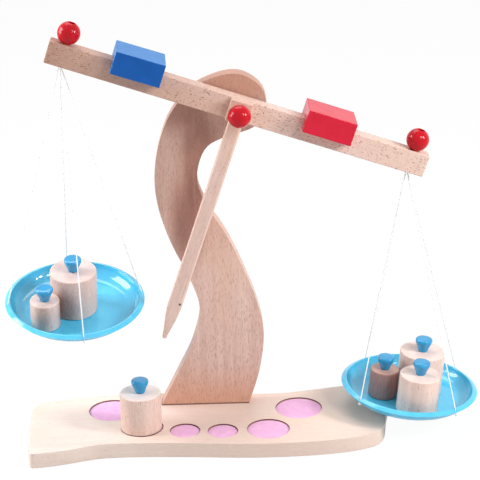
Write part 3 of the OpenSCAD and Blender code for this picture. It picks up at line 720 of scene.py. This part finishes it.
# solids that stay as they are, with a finish of their own
for name, finish in (("pivot_dowel", beamBeech), ("left_string_tail", cottonCord),
                     ("right_string_tail", cottonCord), ("pivot_washer", washerWhite)):
    node = nodes[name]
    for slot in node.material_slots:
        slot.material = finish
    if not node.material_slots:
        node.data.materials.append(finish)
print("wooden boards and riders made")

# red balls, turned and bored, in millimetres; lift is from the beam's top to the ball's middle
ballSizes = {"radius": 10.2, "bore": 3.4, "lift": 9.6167, "pivotAhead": 27.45, "edge": 0.35, "knotLift": 1.75}


def boredBall(name, place, body, through, stands):
    r, bore, edge = ballSizes["radius"], ballSizes["bore"], ballSizes["edge"]
    flat = math.sqrt(r * r - (bore + edge) ** 2)  # height at which the bore's eased edge meets the ball
    reach = math.degrees(math.asin(flat / r))
    shell = arcPoints((0, 0), r, -reach, reach, steps=40)
    if through:
        outline = shell + [(bore, flat - edge), (bore, edge - flat)]
    else:
        cap = arcPoints((0, 0), r, reach, 90, steps=6)[1:]
        outline = [(0, 0), (bore, 0), (bore, edge - flat)] + shell + cap
    ball = turnProfile(name, outline, place, sides=64, closed=through)
    makePiece(name, ball, body, redGloss, [stands])


beamUp = (beamFrame.to_3x3() @ Vector((0, 0, 1))).normalized()
for side, word in ((-1, "left"), (1, "right")):
    top = Vector((side * layout["hangReach"], 0, layout["beamHalfHeight"]))
    middle = (top + Vector((0, 0, ballSizes["lift"] + layout["gap"]))) * mm
    seat = beamFrame @ ((top + Vector((0, 0, ballSizes["knotLift"]))) * mm)
    boredBall(word + "Ball", beamFrame @ Matrix.Translation(middle), "beam", True, word + "_bead")
    makePiece(word + "BallKnot", knotMesh("ballKnot", seat, beamUp), "beam", cottonCord,
              [word + "_bead_knot"])
boredBall("pivotBall", Matrix.Translation((0, -ballSizes["pivotAhead"] * mm, pivot.z))
          @ Matrix.Rotation(math.radians(90), 4, "X"), "stand", False, "pivot_knob")
print("balls made")

# pans, moulded in one piece, in millimetres
panSizes = {"outer": 63.8, "floor": 46.5, "depth": 12.0, "wall": 1.2, "lip": 4.8, "lipDrop": 2.0,
            "hole": 1.0, "drill": 6.0}
# the rim's rolled lip: shares of its width and of its drop, from the crest outwards
lipShares = ((0.06, 0.1), (0.18, 0.13), (0.34, -0.05), (0.55, -0.36), (0.8, -0.68), (0.95, -0.9), (1.0, -1.0))


def panOutline(sizes):
    crest = sizes["outer"] - sizes["lip"]
    run, depth = crest - sizes["floor"], sizes["depth"]
    bend = (run * run + depth * depth) / (2 * depth)
    turn = math.degrees(2 * math.atan(depth / run))
    top = [(reach, -depth) for reach in (0, 20, 40)]  # the flat floor
    top += arcPoints((sizes["floor"], bend - depth), bend, -90, turn - 90, steps=16)
    top += [(crest + a * sizes["lip"], b * sizes["lipDrop"]) for a, b in lipShares]
    # the underside is the top moved square to itself by the wall
    under = []
    for i in range(len(top) - 1, -1, -1):
        (x0, z0), (x1, z1) = top[max(i - 1, 0)], top[min(i + 1, len(top) - 1)]
        dx, dz, size = x1 - x0, z1 - z0, math.hypot(x1 - x0, z1 - z0)
        under.append((max(top[i][0] + dz / size * sizes["wall"], 0) if i else 0,
                      top[i][1] - dx / size * sizes["wall"]))
    return top + under


def makePan(side):
    word = "right" if side > 0 else "left"
    dish = turnProfile(word + "PanDish", panOutline(panSizes), panFrame(side), sides=160, degrees=50)
    piece = makePiece(word + "PanDish", dish, word + "_pan", panBlue, [word + "_pan"])
    drills = bmesh.new()
    for k in range(4):
        hole, direction = stringLine(side, k)[1:]
        aim = Matrix.Translation(hole) @ direction.to_track_quat("Z", "Y").to_matrix().to_4x4()
        bmesh.ops.create_cone(drills, cap_ends=True, segments=20, radius1=panSizes["hole"] * mm,
                              radius2=panSizes["hole"] * mm, depth=panSizes["drill"] * mm, matrix=aim)
    drillMesh = bpy.data.meshes.new("panDrills")
    drills.to_mesh(drillMesh)
    drills.free()
    drill = bpy.data.objects.new("panDrills", drillMesh)
    scene.collection.objects.link(drill)
    cut = piece.modifiers.new("stringHoles", "BOOLEAN")
    cut.operation, cut.solver, cut.object = "DIFFERENCE", "MANIFOLD", drill
    drilled = evaluatedMesh(piece)
    piece.modifiers.clear()
    print(word, "pan drilled:", len(dish.polygons), "faces before,", len(drilled.polygons), "after")
    piece.data = drilled
    smoothBelow(drilled, 50)
    bpy.data.objects.remove(drill)


makePan(-1)
makePan(1)
print("pans made")

# weights and their knobs, in millimetres: each weight's radius and height
weightSizes = {"small": (13.3, 27.0), "medium": (18.9, 36.6), "large": (21.2, 41.0), "edge": 1.2,
               "knobReach": 8.0, "knobHeight": 12.9, "seat": 0.2, "storedSeat": 13.5}
# where they stand: from the pan's middle, or on the board
weightPlaces = {"left": {"large": (-0.9207, 0.4929), "small": (-25.2216, -26.3376)},
                "right": {"large": (10.695, 9.765), "medium": (4.1943, -30.5133),
                          "small": (-24.9194, -3.3899)},
                "stored": {"medium": (-95.7829, -33.0962)}}
# a knob's outline from the stem up: shares of its radius and of its height
knobShares = ((0, 0), (0.3, 0), (0.5, 0.0), (0.54, 0.012), (0.575, 0.08), (0.65, 0.22), (0.73, 0.35),
              (0.82, 0.48), (0.9, 0.59), (0.96, 0.7), (0.99, 0.76), (1.0, 0.81), (0.993, 0.87), (0.97, 0.92),
              (0.935, 0.955), (0.87, 0.98), (0.76, 0.992), (0.5, 0.998), (0.25, 1.0), (0, 1))


def makeWeight(word, size, place, body):
    (radius, height), edge = weightSizes[size], weightSizes["edge"]
    outline = [(0, 0), (radius * 0.6, 0), (radius - edge, 0)]
    outline += arcPoints((radius - edge, edge), edge, -90, 0, steps=5)[1:]
    outline += arcPoints((radius - edge, height - edge), edge, 0, 90, steps=5)
    outline += [(radius * 0.6, height), (0, height)]
    node = "%s_%s" % (word, size)
    # the right small weight takes the darker copy: painted shade
    wood = weightBeech["shadedCopy" if node == "right_small" else word]
    makePiece(word + size.capitalize() + "Weight", turnProfile("weight", outline, place), body, wood,
              [node + "_weight"])
    outline = [(a * weightSizes["knobReach"], b * weightSizes["knobHeight"]) for a, b in knobShares]
    seat = place @ Matrix.Translation((0, 0, (height + layout["gap"]) * mm))
    knob = turnProfile("knob", outline, seat, sides=64, degrees=50)
    makePiece(word + size.capitalize() + "Knob", knob, body, skyGloss, [node + "_knob"])


for word, places in weightPlaces.items():
    for size, (x, y) in places.items():
        if word == "stored":
            place = Matrix.Translation(Vector((x, y, weightSizes["storedSeat"])) * mm)
        else:
            seat = Vector((x, y, weightSizes["seat"] - panSizes["depth"])) * mm
            place = panFrame(1 if word == "right" else -1) @ Matrix.Translation(seat)
        makeWeight(word, size, place, "%s_%s" % (word, size))
print("weights and knobs made")

for name, (x, y) in feltPlaces.items():
    r, t = feltSizes[name.split("_")[0]], feltSizes["thickness"]
    # flat, with a cut edge that is pressed round
    outline = [(0, 0), (r, 0), (r, t * 0.6), (r - 0.12, t * 0.88), (r - 0.35, t),
               (r * 0.7, t), (r * 0.35, t), (0, t)]
    place = Matrix.Translation(Vector((x, y, feltSizes["floor"])) * mm)
    makePiece("felt." + name, turnProfile("felt", outline, place, sides=72), "stand", pinkFelt,
              ["felt_" + name])


def screwOutline(sizes):
    head, shank, core, pitch = sizes["head"], sizes["shank"], sizes["core"], sizes["pitch"]
    # countersunk head with a pressed drive, then the plain shank
    outline = [(0, 0.6), (0.9, 0.55), (1.6, 0.12), (2.2, 0.0), (head - 0.2, 0), (head, 0.15), (shank, 2.0)]
    z = sizes["threadFrom"]
    outline.append((shank, z))
    while z < sizes["length"] - sizes["point"]:
        outline += [(shank, z), (core, z + pitch * 0.3), (core, z + pitch * 0.7)]
        z += pitch
    return outline + [(shank, z), (0, sizes["length"])]


def makeScrews():
    bm = bmesh.new()
    for x, y in screwSizes["places"]:
        place = Matrix.Translation(Vector((x, y, layout["gap"])) * mm)
        part = turnProfile("screwPart", screwOutline(screwSizes), place, sides=28)
        bm.from_mesh(part)
        bpy.data.meshes.remove(part)
    mesh = bpy.data.meshes.new("columnScrews")
    bm.to_mesh(mesh)
    bm.free()
    smoothBelow(mesh, 35)
    makePiece("columnScrews", mesh, "stand", zincSteel, ["column_screws"])


makeScrews()
print("felt discs and screws made")

# floor, world and lamps, in metres; each lamp has a place, a size and a power in watts, and aims at the toy
studio = {"floorSize": 6.0, "floorDrop": 0.0004, "floorColour": "#d2d2d2", "floorGlow": 1.03,
          "floorSeen": 0.93, "ambient": 0.32, "aim": (0, 0, 0.2)}
lamps = (("rightSoftbox", (0.97, -0.42, 0.71), (0.24, 0.28), 8.6),
         ("leftSoftbox", (-1.0, 0.04, 0.66), (0.6, 0.7), 13.0),
         ("keySoftbox", (0.72, -0.78, 1.0), (0.35, 0.35), 5.5),
         ("topSoftbox", (-0.1, 0.6, 1.45), (0.9, 0.7), 6.2))


# 1 where the eye, a mirror image or a clear piece looks at the backdrop, 0 for the light that it gives
def seenDirectly(tree):
    rays = addNode(tree, "ShaderNodeLightPath").outputs
    seen = rays["Is Camera Ray"]
    for ray in ("Is Transmission Ray", "Is Glossy Ray"):
        seen = addNode(tree, "ShaderNodeMath", {"operation": "MAXIMUM"}, None,
                       {0: seen, 1: rays[ray]}).outputs[0]
    return seen


def makeFloor():
    half, drop = studio["floorSize"] / 2, studio["floorDrop"]
    corners = [(-half, -half, -drop), (half, -half, -drop), (half, half, -drop), (-half, half, -drop)]
    mesh = bpy.data.meshes.new("studioFloor")
    mesh.from_pydata(corners, [], [(0, 1, 2, 3)])
    floor = bpy.data.objects.new("studioFloor", mesh)
    scene.collection.objects.link(floor)
    # white paper: matt, and lit enough to vanish into the backdrop but for the toy's shadow
    material, tree = newMaterial("whitePaperFloor")
    paper = addNode(tree, "ShaderNodeBsdfDiffuse", None, {"Color": toLinear(studio["floorColour"])})
    glow = addNode(tree, "ShaderNodeEmission", None, {"Color": (1, 1, 1, 1), "Strength": studio["floorGlow"]})
    share = addNode(tree, "ShaderNodeMath", {"operation": "MULTIPLY"}, {1: studio["floorSeen"]},
                    {0: seenDirectly(tree)})
    mixed = addNode(tree, "ShaderNodeMixShader", None, None,
                    {0: share.outputs[0], 1: paper.outputs[0], 2: glow.outputs[0]})
    addNode(tree, "ShaderNodeOutputMaterial", None, None, {"Surface": mixed.outputs[0]})
    mesh.materials.append(material)


def makeWorld():
    world = bpy.data.worlds.new("whiteStudio")
    scene.world = world
    world.use_nodes = True
    tree = world.node_tree
    tree.nodes.clear()
    strength = addNode(tree, "ShaderNodeMapRange", None, {"To Min": studio["ambient"], "To Max": 1.0},
                       {"Value": seenDirectly(tree)})
    sky = addNode(tree, "ShaderNodeBackground", None, {"Color": (1, 1, 1, 1)},
                  {"Strength": strength.outputs[0]})
    addNode(tree, "ShaderNodeOutputWorld", None, None, {"Surface": sky.outputs[0]})


def makeLamp(name, place, size, power):
    data = bpy.data.lights.new(name, "AREA")
    data.shape = "RECTANGLE"
    data.size, data.size_y = size
    data.energy = power
    lamp = bpy.data.objects.new(name, data)
    scene.collection.objects.link(lamp)
    lamp.location = place
    lamp.rotation_mode = "QUATERNION"
    lamp.rotation_quaternion = (Vector(place) - Vector(studio["aim"])).to_track_quat("Z", "Y")


makeFloor()
makeWorld()
for lamp in lamps:
    makeLamp(*lamp)
scene.view_settings.view_transform = "Standard"
print("studio made")
